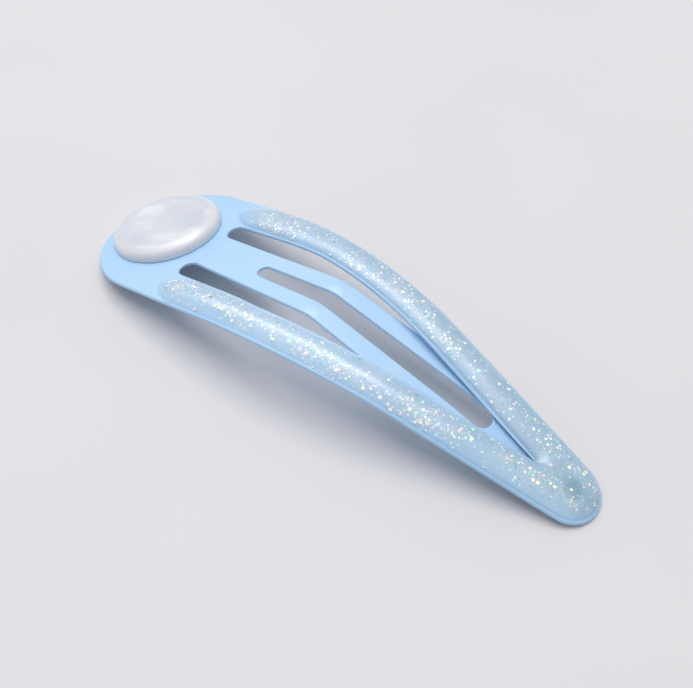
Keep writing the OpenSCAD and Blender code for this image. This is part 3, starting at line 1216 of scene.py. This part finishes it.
class HAIRCLIP_OT_resin(bpy.types.Operator):
    """Make the domed glitter coat over both arms and the tip"""

    bl_idname = "hairclip.resin"
    bl_label = "Glitter Coat"

    def execute(self, context):
        resin = context.scene.hair_clip.resin
        sheet = context.scene.hair_clip.sheet
        bm = bmesh.new()
        layers = [bm.verts.layers.float.new(name) for name in ("cover", "glitter", "deep", "thin_and_lit")]
        self.half(bm, layers, CoatArm(resin, sheet.arm_roll, 1, resin.far_start))
        self.half(bm, layers, CoatArm(resin, sheet.arm_roll, -1, resin.near_start))
        middle = [f for f in bm.faces if all(abs(v.co.y) < WELD for v in f.verts)]
        bmesh.ops.delete(bm, geom=middle, context="FACES")
        bmesh.ops.remove_doubles(bm, verts=bm.verts, dist=WELD)
        piece = finished_mesh(bm, "glitter_coat", glitter_resin(resin))
        smooth(piece)
        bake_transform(piece)
        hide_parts("glitter_resin")
        return {"FINISHED"}

    def half(self, bm, layers, arm):
        """One arm's part of the coat, from its round start to the middle of the tip."""
        section = arm.section()
        rings = [[arm.point(x, *place) for place in section] for x in arm.stations()]
        made = lofted(bm, [[point for point, look in ring] for ring in rings])
        for row, ring in zip(made, rings):
            for vert, (point, look) in zip(row, ring):
                for layer, value in zip(layers, look):
                    vert[layer] = value
        for row in (made[0], made[-1]):
            bmesh.ops.contextual_create(bm, geom=row)


class HAIRCLIP_OT_stage(bpy.types.Operator):
    """Make the plain floor, the soft lights and the camera"""

    bl_idname = "hairclip.stage"
    bl_label = "Stage"

    def execute(self, context):
        stage = context.scene.hair_clip.stage
        self.floor(stage)
        self.light("Key", stage.key_power, KEY_SIZE, KEY_PLACE)
        sheen = self.light("Sheen", stage.sheen_power, SHEEN_SIZE, SHEEN_PLACE)
        sheen.visible_diffuse = False
        self.sky(context, stage)
        context.scene.view_settings.view_transform = "Standard"
        self.camera(context, stage)
        return {"FINISHED"}

    def floor(self, stage):
        bm = bmesh.new()
        bmesh.ops.create_grid(bm, x_segments=1, y_segments=1, size=FLOOR_HALF)
        n = Nodes("Pale floor")
        shade = n.remap(n.noise(25, 3), 0.3, 0.7, 0.97, 1.0)
        tone = n.mix(shade, (0, 0, 0, 1), rgba(stage.floor))
        mesh = bpy.data.meshes.new("floor")
        bm.to_mesh(mesh)
        bm.free()
        floor = bpy.data.objects.new("floor", mesh)
        bpy.context.scene.collection.objects.link(floor)
        mesh.materials.append(n.finish(Base_Color=tone, Roughness=0.9, Specular_IOR_Level=0.2))

    def sky(self, context, stage):
        """Soft light from all round that is brightest above and behind the clip."""
        world = context.scene.world or bpy.data.worlds.new("Soft light")
        context.scene.world = world
        world.use_nodes = True
        nodes, links = world.node_tree.nodes, world.node_tree.links
        direction = nodes.new("ShaderNodeTexCoord").outputs["Generated"]
        facing = nodes.new("ShaderNodeVectorMath")
        facing.operation = "DOT_PRODUCT"
        facing.inputs[1].default_value = SKY_BRIGHT
        links.new(direction, facing.inputs[0])
        strength = nodes.new("ShaderNodeMapRange")
        strength.interpolation_type = "SMOOTHSTEP"
        strength.inputs["From Min"].default_value = SKY_COSINES[0]
        strength.inputs["From Max"].default_value = SKY_COSINES[1]
        strength.inputs["To Min"].default_value = stage.sky_low
        strength.inputs["To Max"].default_value = stage.sky_high
        links.new(facing.outputs["Value"], strength.inputs["Value"])
        background = nodes.get("Background")
        background.inputs["Color"].default_value = SKY_TINT
        links.new(strength.outputs["Result"], background.inputs["Strength"])

    def light(self, name, power, size, place):
        lamp = bpy.data.lights.new(name, "AREA")
        lamp.shape = "RECTANGLE"
        lamp.size, lamp.size_y = size
        lamp.energy = power
        lamp_object = bpy.data.objects.new(name, lamp)
        back = Vector(place).normalized()
        across = Vector((0, 1, 0)).cross(back).normalized()
        turn = Matrix((across, back.cross(across), back)).transposed().to_4x4()
        lamp_object.matrix_world = Matrix.Translation(place) @ turn
        bpy.context.scene.collection.objects.link(lamp_object)
        return lamp_object

    def camera(self, context, stage):
        a, e, r = stage.azimuth, stage.elevation, stage.roll
        back = Vector((math.sin(a) * math.cos(e), -math.cos(a) * math.cos(e), math.sin(e)))
        right = Vector((math.cos(a), math.sin(a), 0))
        up = back.cross(right)
        across = math.cos(r) * right + math.sin(r) * up
        upward = math.cos(r) * up - math.sin(r) * right
        data = bpy.data.cameras.new("Camera")
        data.lens = stage.lens
        data.sensor_width = 36
        data.clip_start = 5 * MM
        camera = bpy.data.objects.new("Camera", data)
        turn = Matrix((across, upward, back)).transposed().to_4x4()
        camera.matrix_world = Matrix.Translation(Vector(stage.target) + back * stage.distance) @ turn
        context.scene.collection.objects.link(camera)
        context.scene.camera = camera


class HAIRCLIP_PT_panel(bpy.types.Panel):
    """Lists the clip's pieces and its stage"""

    bl_idname = "HAIRCLIP_PT_panel"
    bl_label = "Hair Clip"
    bl_space_type = "VIEW_3D"
    bl_region_type = "UI"
    bl_category = "Hair Clip"

    def draw(self, context):
        settings = context.scene.hair_clip
        for group, operator in (
            (settings.sheet, HAIRCLIP_OT_sheet),
            (settings.disc, HAIRCLIP_OT_disc),
            (settings.resin, HAIRCLIP_OT_resin),
            (settings.rivet, HAIRCLIP_OT_rivet),
            (settings.stage, HAIRCLIP_OT_stage),
        ):
            box = self.layout.box()
            box.operator(operator.bl_idname)
            for name in group.__annotations__:
                box.prop(group, name)


CLASSES = (
    SheetSettings,
    DiscSettings,
    ResinSettings,
    RivetSettings,
    StageSettings,
    ClipSettings,
    HAIRCLIP_OT_sheet,
    HAIRCLIP_OT_disc,
    HAIRCLIP_OT_rivet,
    HAIRCLIP_OT_resin,
    HAIRCLIP_OT_stage,
    HAIRCLIP_PT_panel,
)


def register():
    for cls in CLASSES:
        bpy.utils.register_class(cls)
    bpy.types.Scene.hair_clip = bpy.props.PointerProperty(type=ClipSettings)


def unregister():
    del bpy.types.Scene.hair_clip
    for cls in reversed(CLASSES):
        bpy.utils.unregister_class(cls)


def main():
    register()
    bpy.ops.hairclip.sheet()
    bpy.ops.hairclip.disc()
    bpy.ops.hairclip.rivet()
    bpy.ops.hairclip.resin()
    bpy.ops.hairclip.stage()


if __name__ == "__main__":
    main()
